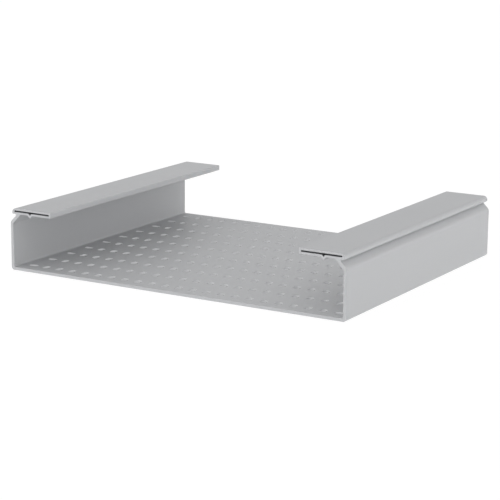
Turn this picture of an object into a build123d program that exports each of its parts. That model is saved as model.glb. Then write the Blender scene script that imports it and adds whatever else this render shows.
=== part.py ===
from build123d import *
import math
import os

# Perforated cable tray in rigid plastic: one profile, extruded to shape, cut to
# length and punched through its base. Millimetres, +Z up, +X across the tray,
# +Y along it. The origin is on the underside, at the middle of the tray.

# Overall size
tray_width = 600.0
tray_height = 100.0
tray_length = 500.0

# Trough: the base and the side walls, with slanted shoulders above them
wall = 5.0
outer_corner_radius = 5.0
inner_corner_radius = 2.5
shoulder_reach = 12.8
inner_bend_radius = 2.0
shoulder_root_radius = 1.8

# Flanges: a flat hollow strip along the top of each wall. Its outer lip is rounded
# over from the top down to its lower edge; lip_face is the bit that stays upright.
flange_width = 75.0
flange_height = 9.0
flange_inset = 3.2
flange_edge_radius = 1.2
lip_edge_radius = 2.0
lip_face = 0.5
lip_wall = 4.7
inner_edge_wall = 3.5
hollow_height = 2.0

# V groove in the floor of the hollow, and the rib that carries it underneath
groove_inset = 38.0
groove_width = 5.0
groove_depth = 2.9
rib_width = 9.0
rib_depth = 4.9
rib_tip_radius = 1.5
rib_root_radius = 1.2

# Slots in the base: crosswise in the column beside each wall, lengthwise
# in the columns between them
slot_width = 9.0
slot_length = 15.0
edge_column_inset = 25.0
column_pitch = 25.0
end_row_inset = 25.0
row_pitch = 50.0
punch_overrun = 1.0

# Places along X and Z in the right half of the section
outer_face = tray_width / 2
inner_face = outer_face - wall
flange_underside = tray_height - flange_height
shoulder_start = flange_underside - shoulder_reach
flange_outer_edge = outer_face - flange_inset
flange_inner_edge = flange_outer_edge - flange_width
lip_radius = flange_height - lip_edge_radius - lip_face

# The shoulder slants at 45 degrees, so a level line through it is this long
shoulder_slice = wall * math.sqrt(2)
shoulder_top_outer = outer_face - shoulder_reach
shoulder_top_inner = shoulder_top_outer - shoulder_slice
inner_shoulder_start = shoulder_start - (shoulder_slice - wall)

hollow_floor = flange_underside + (flange_height - hollow_height) / 2
hollow_roof = hollow_floor + hollow_height
hollow_outer_end = flange_outer_edge - lip_wall
hollow_inner_end = flange_inner_edge + inner_edge_wall
hollow_end_radius = 0.35 * hollow_height
groove_middle = outer_face - groove_inset

# The rows start at the front end, and the inner columns are centred
edge_column_spacing = tray_width - 2 * edge_column_inset
inner_columns = math.floor(edge_column_spacing / column_pitch) - 1
inner_column_span = (inner_columns - 1) * column_pitch
rows = math.floor((tray_length - 2 * end_row_inset) / row_pitch) + 1
row_span = (rows - 1) * row_pitch
row_middle = (row_span - tray_length) / 2 + end_row_inset

# A light slot for the pattern, with each round end as three flats
with BuildSketch() as plain_slot:
    with GridLocations(slot_length - slot_width, 0, 2, 1):
        RegularPolygon(slot_width / 2, side_count=6, rotation=30)
    make_hull()

with BuildPart() as perforated_tray:
    with BuildSketch(Plane.XZ):
        # Outline of the right half, anticlockwise from the middle of the underside,
        # each corner with the radius it is rounded to
        outline = {
            (0, 0): 0,
            (outer_face, 0): outer_corner_radius,
            (outer_face, shoulder_start): inner_bend_radius + wall,
            (shoulder_top_outer, flange_underside): shoulder_root_radius,
            (flange_outer_edge, flange_underside): lip_edge_radius,
            (flange_outer_edge, tray_height): lip_radius,
            (flange_inner_edge, tray_height): flange_edge_radius,
            (flange_inner_edge, flange_underside): flange_edge_radius,
            (groove_middle - rib_width / 2, flange_underside): rib_root_radius,
            (groove_middle, flange_underside - rib_depth): rib_tip_radius,
            (groove_middle + rib_width / 2, flange_underside): rib_root_radius,
            (shoulder_top_inner, flange_underside): shoulder_root_radius,
            (inner_face, inner_shoulder_start): inner_bend_radius,
            (inner_face, wall): inner_corner_radius,
            (0, wall): 0,
        }
        with BuildLine():
            FilletPolyline(*outline.keys(), radius=outline.values(), close=True)
        make_face()

        # The hollow inside the flange, with the V groove in its floor
        hollow = {
            (hollow_outer_end, hollow_floor): hollow_end_radius,
            (hollow_outer_end, hollow_roof): hollow_end_radius,
            (hollow_inner_end, hollow_roof): hollow_end_radius,
            (hollow_inner_end, hollow_floor): hollow_end_radius,
            (groove_middle - groove_width / 2, hollow_floor): 0,
            (groove_middle, hollow_floor - groove_depth): 0,
            (groove_middle + groove_width / 2, hollow_floor): 0,
        }
        with BuildLine():
            FilletPolyline(*hollow.keys(), radius=hollow.values(), close=True)
        make_face(mode=Mode.SUBTRACT)
        mirror(about=Plane.YZ)
    extrude(amount=tray_length / 2, both=True)

    # The slots that take bolts have their true round ends: the four in the corners
    # for the brackets, and the end pairs of the outermost inner columns for couplers
    with BuildSketch(Plane((0, row_middle, -punch_overrun))):
        with GridLocations(column_pitch, row_pitch, inner_columns, rows):
            add(plain_slot.sketch, rotation=90)
        with GridLocations(edge_column_spacing, row_pitch, 2, rows):
            add(plain_slot.sketch)
        with GridLocations(edge_column_spacing, row_span, 2, 2):
            SlotOverall(slot_length, slot_width)
        with GridLocations(inner_column_span, row_span - row_pitch, 2, 2):
            with GridLocations(0, row_pitch, 1, 2):
                SlotOverall(slot_length, slot_width, rotation=90)
    extrude(amount=wall + 2 * punch_overrun, mode=Mode.SUBTRACT)

os.makedirs("parts", exist_ok=True)
perforated_tray.part.label = "perforated_tray"
export_step(perforated_tray.part, "parts/perforated_tray.step")
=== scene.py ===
import math

import bmesh
import bpy
from bpy.props import FloatProperty, FloatVectorProperty, PointerProperty
from mathutils import Matrix, Vector


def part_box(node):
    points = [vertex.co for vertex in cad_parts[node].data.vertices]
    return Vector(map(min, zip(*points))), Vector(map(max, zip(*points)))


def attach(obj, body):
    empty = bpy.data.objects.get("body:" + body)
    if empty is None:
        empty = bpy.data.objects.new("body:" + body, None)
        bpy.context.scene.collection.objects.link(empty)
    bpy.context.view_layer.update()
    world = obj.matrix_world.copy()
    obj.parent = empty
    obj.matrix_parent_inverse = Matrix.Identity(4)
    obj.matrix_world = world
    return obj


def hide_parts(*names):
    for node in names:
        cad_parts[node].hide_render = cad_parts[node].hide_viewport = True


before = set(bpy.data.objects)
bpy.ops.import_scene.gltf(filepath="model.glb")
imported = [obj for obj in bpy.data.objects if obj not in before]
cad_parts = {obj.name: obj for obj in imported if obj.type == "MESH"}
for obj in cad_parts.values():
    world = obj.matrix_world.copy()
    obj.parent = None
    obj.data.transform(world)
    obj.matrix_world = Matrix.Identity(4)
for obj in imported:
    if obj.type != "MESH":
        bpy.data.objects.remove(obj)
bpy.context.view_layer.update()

bl_info = {
    "name": "Perforated Cable Tray",
    "version": (1, 0, 0),
    "blender": (4, 5, 0),
    "location": "3D View > Sidebar > Cable Tray",
    "description": "Builds a slotted plastic cable tray with hollow flanges, and a plain studio around it",
    "category": "Object",
}

TRAY_NODE = "perforated_tray"
MM = 0.001
tray_low, tray_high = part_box(TRAY_NODE)


def linear_from_hex(code):
    """The linear colour of an sRGB hex code such as C4C6C6, by the sRGB standard's curve."""
    levels = [int(code[i:i + 2], 16) / 255 for i in (0, 2, 4)]
    return tuple(v / 12.92 if v <= 0.04045 else ((v + 0.055) / 1.055) ** 2.4 for v in levels)


def length_property(name, description, millimetres):
    """A length, with its default in millimetres."""
    return FloatProperty(
        name=name, description=description, default=millimetres * MM, precision=5,
        unit="LENGTH", subtype="DISTANCE",
    )


def colour_property(name, description, code):
    """A colour, with its default as an sRGB hex code."""
    return FloatVectorProperty(
        name=name, description=description, default=linear_from_hex(code), size=3, min=0, max=1,
        subtype="COLOR",
    )


class TrayProfileSettings(bpy.types.PropertyGroup):
    """Sizes of the extruded section. The overall sizes come from the frame."""

    width: FloatProperty(
        name="Width", description="Over the outer faces of the walls",
        default=tray_high.x - tray_low.x, unit="LENGTH",
    )
    height: FloatProperty(
        name="Height", description="From the underside to the flange tops", default=tray_high.z, unit="LENGTH"
    )
    length: FloatProperty(
        name="Length", description="From one cut end to the other",
        default=tray_high.y - tray_low.y, unit="LENGTH",
    )
    wall: length_property("Wall", "Thickness of the base, walls and shoulders", 5.0)
    inner_corner_radius: length_property("Inner Corner Radius", "Where the base meets a wall, inside", 2.5)
    outer_corner_radius: length_property("Outer Corner Radius", "Where the base meets a wall, outside", 5.0)
    shoulder_reach: length_property("Shoulder Reach", "How far each shoulder leans in and rises", 12.8)
    inner_bend_radius: length_property("Inner Bend Radius", "Where a wall meets its shoulder, inside", 2.0)
    shoulder_root_radius: length_property("Shoulder Root Radius", "Where a shoulder meets its flange", 1.8)
    flange_width: length_property("Flange Width", "From the outer lip to the inner edge", 75.0)
    flange_height: length_property("Flange Height", "Over both skins of the hollow flange", 9.0)
    flange_inset: length_property("Flange Inset", "From the wall's outer face to the lip", 3.2)
    flange_edge_radius: length_property("Flange Edge Radius", "At the flange's inner edge", 1.2)
    lip_edge_radius: length_property("Lip Edge Radius", "At the lip's lower edge", 2.0)
    lip_face: length_property("Lip Face", "Upright part of the lip, under its rounded top", 0.5)
    lip_wall: length_property("Lip Wall", "Solid between the lip and the hollow", 4.7)
    inner_edge_wall: length_property("Inner Edge Wall", "Solid between the hollow and the inner edge", 3.5)
    hollow_height: length_property("Hollow Height", "Gap between the flange's two skins", 2.0)
    hollow_end_radius: length_property("Hollow End Radius", "At the corners of the hollow's two ends", 0.7)
    groove_inset: length_property("Groove Inset", "From the wall's outer face to the V groove", 38.0)
    groove_width: length_property("Groove Width", "Across the mouth of the V groove", 5.0)
    groove_depth: length_property("Groove Depth", "Below the floor of the hollow", 2.9)
    rib_width: length_property("Rib Width", "Of the rib under the V groove", 9.0)
    rib_depth: length_property("Rib Depth", "Below the flange, before its tip is rounded", 4.9)
    rib_tip_radius: length_property("Rib Tip Radius", "At the rib's lower edge", 1.5)
    rib_root_radius: length_property("Rib Root Radius", "Where the rib meets the flange", 1.2)
    cut_edge: length_property("Cut Edge", "Rounding of the sawn ends' edges", 0.35)


class TraySlotSettings(bpy.types.PropertyGroup):
    """The field of slots punched through the base."""

    slot_width: length_property("Slot Width", "Across a slot", 9.0)
    slot_length: length_property("Slot Length", "From end to end of a slot", 15.0)
    edge_column_inset: length_property("Edge Column Inset", "From a wall's outer face to its slots", 25.0)
    column_pitch: length_property("Column Pitch", "Between columns across the tray", 25.0)
    end_row_inset: length_property("End Row Inset", "From the front end to the first row", 25.0)
    row_pitch: length_property("Row Pitch", "Between rows along the tray", 50.0)
    punched_edge: length_property("Punched Edge", "Rounding of a slot's upper and lower edges", 0.2)


class TrayPlasticSettings(bpy.types.PropertyGroup):
    """Colours of the plastic, as extruded and where it was cut."""

    skin_colour: colour_property("Skin", "Extruded surface", "B5B6B8")
    # Painted shade: much darker than the skin, standing in for the shade inside the hollows
    hollow_painted_shade: colour_property("Hollow", "Surface inside the hollow flanges", "747577")
    # Painted shade: a little darker than the skin, to tone down the light falling on the sawn ends
    sawn_tone_and_painted_shade: colour_property("Sawn", "Sawn ends", "AEAFB1")
    # Paler than the skin: partly stress-whitening, partly painted light on the slot walls
    punched_whitening_and_painted_light: colour_property("Punched", "Stress-whitened walls of the slots", "D2D3D4")
    skin_roughness: FloatProperty(
        name="Skin Roughness", description="Of the extruded surface", default=0.52, min=0, max=1,
        subtype="FACTOR",
    )


class TrayStudioSettings(bpy.types.PropertyGroup):
    """Camera, lights and the light table that is the floor."""

    camera_place: FloatVectorProperty(
        name="Camera Place", description="Where the camera stands", default=(1.4623, -2.4752, 0.6808),
        subtype="XYZ", unit="LENGTH",
    )
    camera_azimuth: FloatProperty(
        name="Azimuth", description="Turn to the tray's right", default=math.radians(30.717), unit="ROTATION"
    )
    camera_elevation: FloatProperty(
        name="Elevation", description="Tilt down from level", default=math.radians(12.937), unit="ROTATION"
    )
    camera_roll: FloatProperty(
        name="Roll", description="Turn about the line of sight", default=math.radians(0.438), unit="ROTATION"
    )
    camera_lens: FloatProperty(
        name="Lens", description="Focal length in millimetres on a 36 mm sensor", default=131.06, min=1,
        unit="CAMERA",
    )
    even_light: FloatProperty(name="Even Light", description="Light from all round", default=0.63, min=0)
    level_light: FloatProperty(
        name="Level Light", description="Added in a narrow band round the horizon", default=15.8, min=0
    )
    side_light: FloatVectorProperty(
        name="Side Light", description="Added low light: where it comes from, and by its length how much",
        default=(-0.9, -1.0, 0.0), subtype="XYZ",
    )
    soft_box_place: FloatVectorProperty(
        name="Soft Box Place", description="Which way the large soft box stands",
        default=(0.82, 0.0, 0.57), subtype="DIRECTION",
    )
    soft_box_light: FloatProperty(name="Soft Box Light", description="At its middle", default=0.2, min=0)
    table_light: FloatProperty(
        name="Table Light", description="Light that the table sends up at the tray, also through its slots",
        default=0.81, min=0,
    )
    table_colour: colour_property("Table Colour", "Opal white of the table's top", "F7F7F7")
    table_shade: FloatProperty(
        name="Table Shade", description="Share of the table's white that takes shadows",
        default=0.15, min=0, max=1, subtype="FACTOR",
    )
    table_size: FloatProperty(
        name="Table Size", description="Side of the square table", default=60.0, unit="LENGTH"
    )
    table_gap: length_property("Table Gap", "From the tray's underside down to the table", 0.05)


def tray_settings():
    """The four groups of settings: profile, slots, plastic and studio."""
    scene = bpy.context.scene
    return scene.tray_profile, scene.tray_slots, scene.tray_plastic, scene.tray_studio


# How finely round forms are divided: the most that one face of an arc turns, and the faces across a rounded
# edge, along the sides of a slot's cell and round each end of a slot
ARC_STEP = math.radians(9)
EDGE_STEPS = 3
CELL_STEPS_X = 6
CELL_STEPS_Y = 8
ROUND_END_STEPS = 12

# Turn of a rounded edge at each of its points, from one flat face to the next
EDGE_ANGLES = [math.pi / 2 * k / EDGE_STEPS for k in range(EDGE_STEPS + 1)]

# Edges that turn by more than this are sharp
SHARP_ANGLE = math.radians(40)

# Places nearer to each other than a ten-thousandth of a millimetre are one place
PLACES_PER_METRE = 1e7

# Share of a pitch that keeps a whole number of pitches whole when it is rounded down
PITCH_SLACK = 1e-6

# The tray's materials, in their order on the mesh. The hollows' material is painted shade
SKIN, SHADED_HOLLOW, SAWN, PUNCHED = range(4)

# Refractive index of rigid PVC
PVC_IOR = 1.53


def mirrored(points):
    """The same points on the tray's other side."""
    return [(-x, *rest) for x, *rest in points]


def half_outline(profile):
    """Corners (x, z, radius) of the section's right half, from the outer bottom corner to the inner one."""
    outer_face = profile.width / 2
    inner_face = outer_face - profile.wall
    underside = profile.height - profile.flange_height
    lip = outer_face - profile.flange_inset
    lip_radius = profile.flange_height - profile.lip_edge_radius - profile.lip_face
    inner_edge = lip - profile.flange_width
    groove = outer_face - profile.groove_inset
    half_rib = profile.rib_width / 2
    # The shoulder slants at 45 degrees, so a level line through it is this long
    shoulder_slice = profile.wall * math.sqrt(2)
    shoulder_start = underside - profile.shoulder_reach
    shoulder_top = outer_face - profile.shoulder_reach
    return [
        (outer_face, 0, profile.outer_corner_radius),
        (outer_face, shoulder_start, profile.inner_bend_radius + profile.wall),
        (shoulder_top, underside, profile.shoulder_root_radius),
        (lip, underside, profile.lip_edge_radius),
        (lip, profile.height, lip_radius),
        (inner_edge, profile.height, profile.flange_edge_radius),
        (inner_edge, underside, profile.flange_edge_radius),
        (groove - half_rib, underside, profile.rib_root_radius),
        (groove, underside - profile.rib_depth, profile.rib_tip_radius),
        (groove + half_rib, underside, profile.rib_root_radius),
        (shoulder_top - shoulder_slice, underside, profile.shoulder_root_radius),
        (inner_face, shoulder_start - shoulder_slice + profile.wall, profile.inner_bend_radius),
        (inner_face, profile.wall, profile.inner_corner_radius),
    ]


def hollow_outline(profile):
    """Corners (x, z, radius) of the hollow inside the right flange."""
    lip = profile.width / 2 - profile.flange_inset
    outer_end = lip - profile.lip_wall
    inner_end = lip - profile.flange_width + profile.inner_edge_wall
    floor = profile.height - (profile.flange_height + profile.hollow_height) / 2
    roof = floor + profile.hollow_height
    radius = profile.hollow_end_radius
    groove = profile.width / 2 - profile.groove_inset
    half_mouth = profile.groove_width / 2
    return [
        (outer_end, floor, radius),
        (outer_end, roof, radius),
        (inner_end, roof, radius),
        (inner_end, floor, radius),
        (groove - half_mouth, floor, 0),
        (groove, floor - profile.groove_depth, 0),
        (groove + half_mouth, floor, 0),
    ]


def rounded_loop(corners, inset):
    """Points (x, z) of an anticlockwise outline with rounded corners, moved inwards by inset."""
    points = []
    for i, (x, z, radius) in enumerate(corners):
        corner = Vector((x, z))
        arriving = (corner - Vector(corners[i - 1][:2])).normalized()
        leaving = (Vector(corners[(i + 1) % len(corners)][:2]) - corner).normalized()
        turn = math.atan2(arriving.x * leaving.y - arriving.y * leaving.x, arriving.dot(leaving))
        left_before = Vector((-arriving.y, arriving.x))
        left_after = Vector((-leaving.y, leaving.x))
        corner = corner + (left_before + left_after) * inset / (1 + left_before.dot(left_after))
        if radius == 0:
            points.append(tuple(corner))
            continue
        side = math.copysign(1, turn)
        radius = radius - side * inset
        start = corner - arriving * radius * math.tan(abs(turn) / 2)
        centre = start + left_before * radius * side
        steps = math.ceil(abs(turn) / ARC_STEP)
        for step in range(steps + 1):
            points.append(tuple(centre + Matrix.Rotation(turn * step / steps, 2) @ (start - centre)))
    return points


def spaced(start, end, steps):
    """Evenly spaced places from start to end."""
    return [start + (end - start) * i / steps for i in range(steps + 1)]


def slot_columns(profile, slots):
    """Middles of the slot columns, and the lines between them."""
    edge = profile.width / 2 - slots.edge_column_inset
    count = math.floor(2 * edge / slots.column_pitch + PITCH_SLACK) - 1
    inner = [(i - (count - 1) / 2) * slots.column_pitch for i in range(count)]
    middles = [-edge, *inner, edge]
    between = [(a + b) / 2 for a, b in zip(middles, middles[1:])]
    rim = edge + slots.column_pitch / 2
    return middles, [-rim, *between, rim]


def slot_rows(profile, slots):
    """Middles of the slot rows, and the lines between them, with the outer ones at the cut edges."""
    start = slots.end_row_inset - profile.length / 2
    span = profile.length - 2 * slots.end_row_inset
    count = math.floor(span / slots.row_pitch + PITCH_SLACK) + 1
    middles = [start + i * slots.row_pitch for i in range(count)]
    between = [(a + b) / 2 for a, b in zip(middles, middles[1:])]
    rim = profile.length / 2 - profile.cut_edge
    return middles, [-rim, *between, rim]


def slot_outline(slots, grow, crosswise):
    """Points of a slot's outline round its middle, anticlockwise from the +X side, grown by grow."""
    radius = slots.slot_width / 2
    straight = slots.slot_length / 2 - radius
    points = []
    for end in (1, -1):
        for step in range(ROUND_END_STEPS + 1):
            angle = math.pi * step / ROUND_END_STEPS + (0 if end > 0 else math.pi)
            x = (radius + grow) * math.cos(angle)
            points.append((x, end * straight + (radius + grow) * math.sin(angle)))
        points.append((-end * (radius + grow), 0.0))
    points = points[-1:] + points[:-1]
    if crosswise:
        points = [(y, -x) for x, y in points]
        quarter = len(points) // 4
        points = points[quarter:] + points[:quarter]
    return points


def cell_outline(x0, x1, y0, y1):
    """Points round a cell of the slot field, anticlockwise from the middle of its +X side."""
    xs, ys = spaced(x0, x1, CELL_STEPS_X), spaced(y0, y1, CELL_STEPS_Y)
    right = [(x1, y) for y in ys[:-1]]
    top = [(x, y1) for x in reversed(xs[1:])]
    left = [(x0, y) for y in reversed(ys[1:])]
    bottom = [(x, y0) for x in xs[:-1]]
    loop = right + top + left + bottom
    half = CELL_STEPS_Y // 2
    return loop[half:] + loop[:half]


class TrayMesh:
    """Collects the faces of the tray, with one vertex at each place."""

    def __init__(self):
        self.bm = bmesh.new()
        self.places = {}

    def vertex(self, x, y, z):
        """The vertex at a place, new if there is none yet."""
        key = tuple(round(v * PLACES_PER_METRE) for v in (x, y, z))
        if key not in self.places:
            self.places[key] = self.bm.verts.new((x, y, z))
        return self.places[key]

    def face(self, vertices, material):
        made = self.bm.faces.new(vertices)
        made.material_index = material
        made.smooth = True

    def bridge(self, first, second, material):
        """Quads between two closed loops of vertices."""
        count = len(first)
        for i in range(count):
            j = (i + 1) % count
            self.face([first[i], first[j], second[j], second[i]], material)

    def cap(self, loops, material):
        """Fills a flat end bounded by an outline and its hollows."""
        edges = []
        for loop in loops:
            for a, b in zip(loop, loop[1:] + loop[:1]):
                edges.append(self.bm.edges.get((a, b)))
        made = bmesh.ops.triangle_fill(self.bm, use_beauty=True, use_dissolve=False, edges=edges)
        for item in made["geom"]:
            if isinstance(item, bmesh.types.BMFace):
                item.material_index = material


def add_slot_field(mesh, profile, slots, columns, rows):
    """The base with its slots, one cell to a slot, each slot with rounded punched edges."""
    column_middles, column_lines = columns
    row_middles, row_lines = rows
    wall, edge = profile.wall, slots.punched_edge
    upper = [(edge * (1 - math.sin(a)), wall - edge * (1 - math.cos(a))) for a in EDGE_ANGLES]
    lower = [(grow, wall - z) for grow, z in reversed(upper)]
    for column, x in enumerate(column_middles):
        crosswise = column in (0, len(column_middles) - 1)
        for row, y in enumerate(row_middles):
            rim = cell_outline(*column_lines[column:column + 2], *row_lines[row:row + 2])
            rings = [[mesh.vertex(a, b, wall) for a, b in rim]]
            for grow, z in upper + lower:
                outline = slot_outline(slots, grow, crosswise)
                rings.append([mesh.vertex(x + a, y + b, z) for a, b in outline])
            rings.append([mesh.vertex(a, b, 0) for a, b in rim])
            # The punch rolls the skin over at the upper edge, and shears the plastic below it
            for k, (ring, following) in enumerate(zip(rings, rings[1:])):
                extruded = k <= EDGE_STEPS or k == len(rings) - 2
                mesh.bridge(ring, following, SKIN if extruded else PUNCHED)


def field_places(lines, steps):
    """Every place along one direction where the cells' outlines have a point."""
    places = [lines[0]]
    for a, b in zip(lines, lines[1:]):
        places += spaced(a, b, steps)[1:]
    return places


def add_profile(mesh, profile, columns, rows):
    """Walls, shoulders and flanges, and the sawn ends with their rounded edges."""
    right = half_outline(profile)
    outline = right + mirrored(reversed(right))
    hollow = hollow_outline(profile)
    across = field_places(columns[1], CELL_STEPS_X)
    along = field_places(rows[1], CELL_STEPS_Y)
    front, back = -profile.length / 2, profile.length / 2
    edge = profile.cut_edge

    def section(inset):
        """The tray's outline and its two hollows, each set into the plastic by inset."""
        loop = rounded_loop(outline, inset)
        half = len(loop) // 2
        under = [(x, inset) for x in across]
        over = [(x, profile.wall - inset) for x in reversed(across)]
        whole = under + loop[:half] + over + loop[half:]
        right_hollow = rounded_loop(hollow, -inset)
        return [whole, list(reversed(right_hollow)), mirrored(right_hollow)]

    def rings(inset, y):
        """The section's loops as vertices, at one place along the tray."""
        return [[mesh.vertex(x, y, z) for x, z in loop] for loop in section(inset)]

    # Rounded edges, from the skin to the flat of each sawn end
    for end, inward in ((front, 1), (back, -1)):
        previous = rings(0, end + inward * edge)
        for angle in EDGE_ANGLES[1:]:
            following = rings(edge * (1 - math.cos(angle)), end + inward * edge * (1 - math.sin(angle)))
            for number, (a, b) in enumerate(zip(previous, following)):
                # The hollows' thin mouths take the hollows' painted shade, which widens their dark slits
                mesh.bridge(a, b, SHADED_HOLLOW if number else SAWN)
            previous = following
        mesh.cap(previous, SAWN)

    # Skin of the profile, apart from the slot field, which has points all along its two sides
    field_edge = across[-1] + 1 / PLACES_PER_METRE
    near, far = rings(0, front + edge), rings(0, back - edge)
    for number, (a, b) in enumerate(zip(near, far)):
        count = len(a)
        for i in range(count):
            j = (i + 1) % count
            first, second = [a[i], b[i]], [b[j], a[j]]
            if number == 0:
                in_field = [abs(v.co.x) <= field_edge and v.co.z <= profile.wall for v in (a[i], a[j])]
                if all(in_field):
                    continue
                if in_field[0]:
                    first = [mesh.vertex(a[i].co.x, y, a[i].co.z) for y in along]
                if in_field[1]:
                    second = [mesh.vertex(a[j].co.x, y, a[j].co.z) for y in reversed(along)]
            # The hollows' insides take the hollows' painted shade
            mesh.face(first + second, SHADED_HOLLOW if number else SKIN)


def add_node(tree, kind, settings=None, **inputs):
    """A shader node with its settings and its inputs, each a value or another node's output. An input goes by its
    name, with _ for a space, or by _ and its number."""
    node = tree.nodes.new(kind)
    for key, value in (settings or {}).items():
        setattr(node, key, value)
    for key, value in inputs.items():
        socket = node.inputs[int(key[1:])] if key[0] == "_" else node.inputs[key.replace("_", " ")]
        if isinstance(value, bpy.types.NodeSocket):
            tree.links.new(value, socket)
        else:
            socket.default_value = value
    return node


def new_material(name):
    """An empty material, and its node tree."""
    material = bpy.data.materials.new(name)
    material.use_nodes = True
    material.node_tree.nodes.clear()
    return material, material.node_tree


def finish_pvc(tree, colour, tint, roughness, relief):
    """The PVC itself: its colour, a little paler or darker by the tint, with its roughness and its relief."""
    tinted = add_node(tree, "ShaderNodeVectorMath", {"operation": "SCALE"}, _0=colour, Scale=tint.outputs[0])
    shader = add_node(
        tree, "ShaderNodeBsdfPrincipled", Base_Color=tinted.outputs[0], Roughness=roughness, IOR=PVC_IOR,
        Normal=relief.outputs["Normal"],
    )
    add_node(tree, "ShaderNodeOutputMaterial", Surface=shader.outputs["BSDF"])


def extruded_pvc(plastic):
    """Unplasticised PVC as it leaves the die: an even, matt light grey, with faint lines drawn along the tray
    and a very slight ripple that only shows as unevenness in the sheen."""
    material, tree = new_material("extruded_pvc_light_grey")
    place = add_node(tree, "ShaderNodeTexCoord").outputs["Object"]
    # The die's lines are a few tenths of a millimetre apart; drawn 4 mm apart, so that they can show at all
    line_spacing, line_run = 4.0 * MM, 900.0 * MM
    stretched = add_node(
        tree, "ShaderNodeMapping", Vector=place, Scale=(1 / line_spacing, 1 / line_run, 1 / line_spacing)
    ).outputs["Vector"]
    lines = add_node(tree, "ShaderNodeTexNoise", Vector=stretched, Scale=1.0, Detail=3.0, Roughness=0.6)
    # Cooling leaves soft clouds about 120 mm across
    cloud_size = 120.0 * MM
    clouds = add_node(tree, "ShaderNodeTexNoise", Vector=place, Scale=1 / cloud_size, Detail=2.0, Roughness=0.5)
    # The matt surface's grain is finer than a tenth of a millimetre; drawn 0.8 mm across
    grain_size = 0.8 * MM
    grain = add_node(tree, "ShaderNodeTexNoise", Vector=place, Scale=1 / grain_size, Detail=2.0, Roughness=0.5)
    # The clouds and this share of the lines run together from about 0.45 to 1.05
    line_share, lowest, highest = 0.3, 0.45, 1.05
    uneven = add_node(
        tree, "ShaderNodeMath", {"operation": "MULTIPLY_ADD"},
        _0=lines.outputs["Fac"], _1=line_share, _2=clouds.outputs["Fac"],
    )
    tint_spread, roughness_spread = 0.015, 0.05
    tint = add_node(
        tree, "ShaderNodeMapRange", Value=uneven.outputs[0], From_Min=lowest, From_Max=highest,
        To_Min=1 - tint_spread, To_Max=1 + tint_spread,
    )
    rough = add_node(
        tree, "ShaderNodeMapRange", Value=uneven.outputs[0], From_Min=lowest, From_Max=highest,
        To_Min=plastic.skin_roughness - roughness_spread, To_Max=plastic.skin_roughness + roughness_spread,
    )
    ripple = add_node(tree, "ShaderNodeBump", Height=lines.outputs["Fac"], Strength=0.12, Distance=0.02 * MM)
    surface = add_node(
        tree, "ShaderNodeBump", Height=grain.outputs["Fac"], Strength=0.3, Distance=0.01 * MM,
        Normal=ripple.outputs["Normal"],
    )
    finish_pvc(tree, plastic.skin_colour, tint, roughness=rough.outputs[0], relief=surface)
    return material


def hollow_pvc_painted_shade(plastic):
    """The same PVC inside the hollow flanges: duller where no sizing die touches it, and much darker as painted
    shade for the dim inside of the hollows, in soft streaks along the tray."""
    material, tree = new_material("pvc_hollow_painted_shade")
    place = add_node(tree, "ShaderNodeTexCoord").outputs["Object"]
    # Streaks 3 mm apart, some 200 mm long
    streak_spacing, streak_run = 3.0 * MM, 200.0 * MM
    stretched = add_node(
        tree, "ShaderNodeMapping", Vector=place, Scale=(1 / streak_spacing, 1 / streak_run, 1 / streak_spacing)
    ).outputs["Vector"]
    streaks = add_node(tree, "ShaderNodeTexNoise", Vector=stretched, Scale=1.0, Detail=2.0)
    tint = add_node(tree, "ShaderNodeMapRange", Value=streaks.outputs["Fac"], To_Min=0.93, To_Max=1.07)
    relief = add_node(tree, "ShaderNodeBump", Height=streaks.outputs["Fac"], Strength=0.3, Distance=0.05 * MM)
    finish_pvc(tree, plastic.hollow_painted_shade, tint, roughness=0.75, relief=relief)
    return material


def sawn_pvc(plastic):
    """The same PVC cut by a fine circular saw: duller, with slanting saw marks, and a little darker as painted
    shade that tones down the light falling on the sawn ends.
    """
    material, tree = new_material("sawn_pvc_light_grey")
    place = add_node(tree, "ShaderNodeTexCoord").outputs["Object"]
    # Saw marks lean 20 degrees from upright. Real ones are a few tenths of a millimetre apart; drawn 1.2 mm apart
    mark_spacing = 1.2 * MM
    leaning = add_node(tree, "ShaderNodeMapping", Vector=place, Rotation=(0, math.radians(20), 0))
    # At scale 1 the waves are pi / 10 apart
    wave_scale = math.pi / 10 / mark_spacing
    marks = add_node(
        tree, "ShaderNodeTexWave", {"bands_direction": "X"},
        Vector=leaning.outputs["Vector"], Scale=wave_scale, Distortion=2.0, Detail=2.0, Detail_Scale=1.5,
    )
    tint = add_node(tree, "ShaderNodeMapRange", Value=marks.outputs["Fac"], To_Min=0.97, To_Max=1.03)
    relief = add_node(tree, "ShaderNodeBump", Height=marks.outputs["Fac"], Strength=0.3, Distance=0.03 * MM)
    finish_pvc(tree, plastic.sawn_tone_and_painted_shade, tint, roughness=0.7, relief=relief)
    return material


def punched_pvc(plastic):
    """The same PVC where the punch sheared it: dull, with fine drag lines down the wall, and paler than the skin,
    partly from stress-whitening and partly as painted light on the slot walls.
    """
    material, tree = new_material("punched_pvc_light_grey")
    place = add_node(tree, "ShaderNodeTexCoord").outputs["Object"]
    # Drag lines run down through the base. Real ones are about 0.1 mm apart; drawn 0.7 mm apart
    drag_spacing, drag_run = 0.7 * MM, 12.0 * MM
    stretched = add_node(
        tree, "ShaderNodeMapping", Vector=place, Scale=(1 / drag_spacing, 1 / drag_spacing, 1 / drag_run)
    ).outputs["Vector"]
    drag = add_node(tree, "ShaderNodeTexNoise", Vector=stretched, Scale=1.0, Detail=2.0)
    tint = add_node(tree, "ShaderNodeMapRange", Value=drag.outputs["Fac"], To_Min=0.96, To_Max=1.04)
    relief = add_node(tree, "ShaderNodeBump", Height=drag.outputs["Fac"], Strength=0.3, Distance=0.03 * MM)
    finish_pvc(tree, plastic.punched_whitening_and_painted_light, tint, roughness=0.75, relief=relief)
    return material


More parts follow.
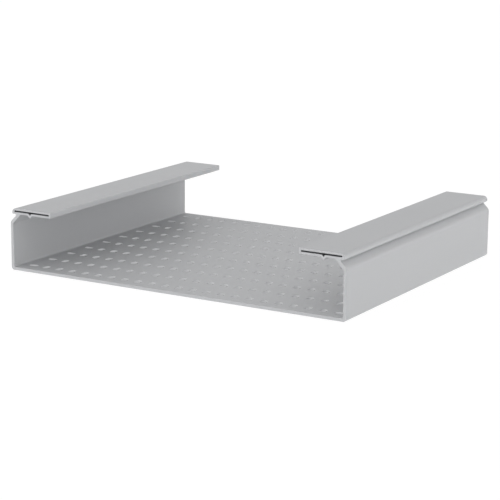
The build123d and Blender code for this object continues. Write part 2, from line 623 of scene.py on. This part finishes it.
class OBJECT_OT_add_cable_tray(bpy.types.Operator):
    """Build the tray: extruded profile, hollow flanges and slotted base in one piece"""

    bl_idname = "object.add_cable_tray"
    bl_label = "Add Cable Tray"

    def execute(self, context):
        profile, slots, plastic, _ = tray_settings()
        columns, rows = slot_columns(profile, slots), slot_rows(profile, slots)
        mesh = TrayMesh()
        add_slot_field(mesh, profile, slots, columns, rows)
        add_profile(mesh, profile, columns, rows)
        bmesh.ops.recalc_face_normals(mesh.bm, faces=mesh.bm.faces)
        data = bpy.data.meshes.new("cable_tray")
        mesh.bm.to_mesh(data)
        mesh.bm.free()
        data.set_sharp_from_angle(angle=SHARP_ANGLE)
        for make_material in (extruded_pvc, hollow_pvc_painted_shade, sawn_pvc, punched_pvc):
            data.materials.append(make_material(plastic))
        tray = bpy.data.objects.new("cable_tray", data)
        context.scene.collection.objects.link(tray)
        normals = tray.modifiers.new("flat_faces_stay_flat", "WEIGHTED_NORMAL")
        normals.keep_sharp = True
        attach(tray, "root")
        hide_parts(TRAY_NODE)
        return {"FINISHED"}


def seen_white(tree):
    """1 for what is seen, also in a reflection or through glass, and 0 for light that falls on a surface."""
    path = add_node(tree, "ShaderNodeLightPath").outputs
    mirrored_too = add_node(
        tree, "ShaderNodeMath", {"operation": "MAXIMUM"}, _0=path["Is Camera Ray"], _1=path["Is Glossy Ray"]
    )
    return add_node(
        tree, "ShaderNodeMath", {"operation": "MAXIMUM"},
        _0=mirrored_too.outputs[0], _1=path["Is Transmission Ray"],
    ).outputs[0]


def light_table_material(studio):
    """Opal white top of a light table. It glows, plain white where it is seen and less as a light for the tray,
    and it keeps a light shadow."""
    material, tree = new_material("opal_white_light_table")
    shaded_white = Vector(studio.table_colour) * studio.table_shade
    shaded = add_node(tree, "ShaderNodeBsdfDiffuse", Color=(*shaded_white, 1.0))
    # Where nothing shades the table, about 0.6 of a white's light falls on it. The shaded share sends that much
    # back, and the glow is the rest
    falling_light = 0.6
    strength = add_node(
        tree, "ShaderNodeMath", {"operation": "MULTIPLY_ADD"}, _0=seen_white(tree),
        _1=1.0 - studio.table_light, _2=studio.table_light - falling_light * studio.table_shade,
    )
    glow = add_node(tree, "ShaderNodeEmission", Color=(1, 1, 1, 1), Strength=strength.outputs[0])
    surface = add_node(tree, "ShaderNodeAddShader", _0=glow.outputs["Emission"], _1=shaded.outputs["BSDF"])
    add_node(tree, "ShaderNodeOutputMaterial", Surface=surface.outputs["Shader"])
    return material


def studio_world(studio):
    """Even soft light, with a bright band at the horizon, as where white walls meet a white floor, more low light
    from one side and a large soft box at the other. What is seen of it is plain white."""
    world = bpy.data.worlds.new("studio_light")
    world.use_nodes = True
    tree = world.node_tree
    tree.nodes.clear()
    direction = add_node(tree, "ShaderNodeTexCoord").outputs["Generated"]
    height = add_node(tree, "ShaderNodeSeparateXYZ", Vector=direction).outputs["Z"]
    steepness = add_node(tree, "ShaderNodeMath", {"operation": "ABSOLUTE"}, _0=height).outputs[0]
    lowness = add_node(tree, "ShaderNodeMath", {"operation": "SUBTRACT"}, _0=1.0, _1=steepness).outputs[0]
    # With this power the band is down to half its strength 0.8 degrees up
    band_power = 50.0
    band = add_node(tree, "ShaderNodeMath", {"operation": "POWER"}, _0=lowness, _1=band_power)
    level = add_node(
        tree, "ShaderNodeMath", {"operation": "MULTIPLY_ADD"},
        _0=band.outputs[0], _1=studio.level_light, _2=studio.even_light,
    )
    facing = add_node(
        tree, "ShaderNodeVectorMath", {"operation": "DOT_PRODUCT"}, _0=direction, _1=studio.side_light
    ).outputs["Value"]
    lit_side = add_node(tree, "ShaderNodeMath", {"operation": "MAXIMUM"}, _0=facing, _1=0.0)
    low_light = add_node(
        tree, "ShaderNodeMath", {"operation": "MULTIPLY_ADD"},
        _0=lit_side.outputs[0], _1=lowness, _2=level.outputs[0],
    )
    towards_box = add_node(
        tree, "ShaderNodeVectorMath", {"operation": "DOT_PRODUCT"}, _0=direction, _1=studio.soft_box_place
    ).outputs["Value"]
    box_side = add_node(tree, "ShaderNodeMath", {"operation": "MAXIMUM"}, _0=towards_box, _1=0.0)
    # With this power the soft box is down to half its strength 33 degrees from its middle
    box_power = 4.0
    box = add_node(tree, "ShaderNodeMath", {"operation": "POWER"}, _0=box_side.outputs[0], _1=box_power)
    strength = add_node(
        tree, "ShaderNodeMath", {"operation": "MULTIPLY_ADD"},
        _0=box.outputs[0], _1=studio.soft_box_light, _2=low_light.outputs[0],
    )
    sky = add_node(tree, "ShaderNodeBackground", Color=(1, 1, 1, 1), Strength=strength.outputs[0])
    white = add_node(tree, "ShaderNodeBackground", Color=(1, 1, 1, 1), Strength=1.0)
    mixed = add_node(tree, "ShaderNodeMixShader", Fac=seen_white(tree), _1=sky.outputs[0], _2=white.outputs[0])
    add_node(tree, "ShaderNodeOutputWorld", Surface=mixed.outputs["Shader"])
    return world


class SCENE_OT_add_tray_studio(bpy.types.Operator):
    """Set the light table, the soft light and the camera round the tray"""

    bl_idname = "scene.add_tray_studio"
    bl_label = "Add Studio"

    def execute(self, context):
        studio = tray_settings()[3]
        scene = context.scene
        scene.view_settings.view_transform = "Standard"

        half = studio.table_size / 2
        floor_mesh = bpy.data.meshes.new("studio_floor")
        corners = [(-half, -half, 0), (half, -half, 0), (half, half, 0), (-half, half, 0)]
        floor_mesh.from_pydata(corners, [], [(0, 1, 2, 3)])
        floor_mesh.materials.append(light_table_material(studio))
        floor = bpy.data.objects.new("studio_floor", floor_mesh)
        floor.location.z = -studio.table_gap
        scene.collection.objects.link(floor)

        scene.world = studio_world(studio)

        camera_data = bpy.data.cameras.new("camera")
        camera_data.lens = studio.camera_lens
        camera_data.sensor_width = 36.0
        camera_data.clip_end = 100.0
        camera = bpy.data.objects.new("camera", camera_data)
        turn = Matrix.Rotation(studio.camera_azimuth, 4, "Z")
        tilt = Matrix.Rotation(math.pi / 2 - studio.camera_elevation, 4, "X")
        roll = Matrix.Rotation(studio.camera_roll, 4, "Z")
        camera.matrix_world = Matrix.Translation(studio.camera_place) @ turn @ tilt @ roll
        scene.collection.objects.link(camera)
        scene.camera = camera
        return {"FINISHED"}


class VIEW3D_PT_cable_tray(bpy.types.Panel):
    """Lists the tray's sizes and colours, and the buttons that build it"""

    bl_label = "Cable Tray"
    bl_idname = "VIEW3D_PT_cable_tray"
    bl_space_type = "VIEW_3D"
    bl_region_type = "UI"
    bl_category = "Cable Tray"

    def draw(self, context):
        layout = self.layout
        for settings in tray_settings():
            box = layout.box()
            for name in settings.bl_rna.properties.keys():
                if name not in ("rna_type", "name"):
                    box.prop(settings, name)
        layout.operator(OBJECT_OT_add_cable_tray.bl_idname)
        layout.operator(SCENE_OT_add_tray_studio.bl_idname)


SETTINGS = {
    "tray_profile": TrayProfileSettings,
    "tray_slots": TraySlotSettings,
    "tray_plastic": TrayPlasticSettings,
    "tray_studio": TrayStudioSettings,
}
CLASSES = (*SETTINGS.values(), OBJECT_OT_add_cable_tray, SCENE_OT_add_tray_studio, VIEW3D_PT_cable_tray)


def register():
    for cls in CLASSES:
        bpy.utils.register_class(cls)
    for name, cls in SETTINGS.items():
        setattr(bpy.types.Scene, name, PointerProperty(type=cls))


def unregister():
    for name in SETTINGS:
        delattr(bpy.types.Scene, name)
    for cls in reversed(CLASSES):
        bpy.utils.unregister_class(cls)


def main():
    register()
    bpy.ops.object.add_cable_tray()
    bpy.ops.scene.add_tray_studio()


if __name__ == "__main__":
    main()
